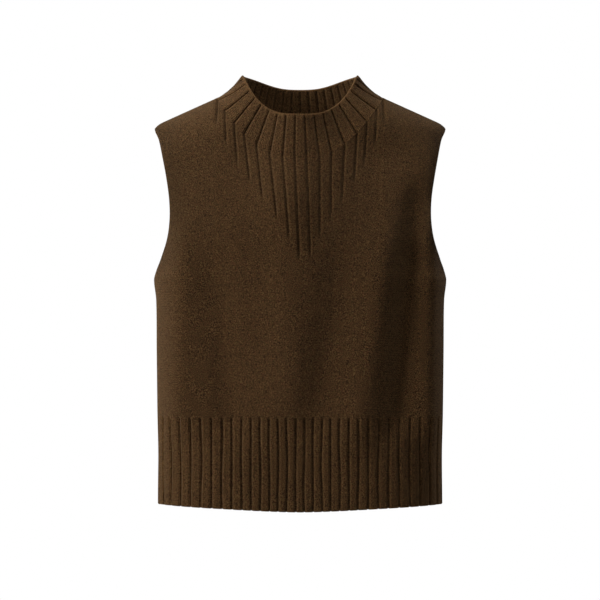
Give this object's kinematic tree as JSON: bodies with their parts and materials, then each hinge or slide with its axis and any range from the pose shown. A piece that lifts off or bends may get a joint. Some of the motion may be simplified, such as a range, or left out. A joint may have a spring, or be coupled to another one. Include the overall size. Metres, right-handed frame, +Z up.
{
  "type": "knitted sweater vest",
  "caption": "Sleeveless knitted sweater vest with a wide-rib mock neck, a V of ribs on the chest and a deep rib hem, as worn with no wearer, open at neck, armholes and hem.",
  "frame": {"origin": "in the middle of the neck, level with the top of the shoulders, where a wearer holds the vest up", "axes": "+Z up along the body, the front faces -Y, +X towards the right as seen from the front"},
  "size_m": [0.383, 0.1987, 0.5614],
  "materials": {
    "front_panel": "matte brown wool knit with a short nap",
    "back_panel": "matte brown wool knit with a short nap",
    "collar": "matte brown wool in a wide rib",
    "hem_rib_front": "matte brown wool in a wide rib",
    "hem_rib_back": "matte brown wool in a wide rib"
  },
  "bodies": {
    "root": {"front_panel": "front_panel", "back_panel": "back_panel", "collar": "collar", "hem_rib_front": "hem_rib_front", "hem_rib_back": "hem_rib_back"}
  },
  "joints": []
}
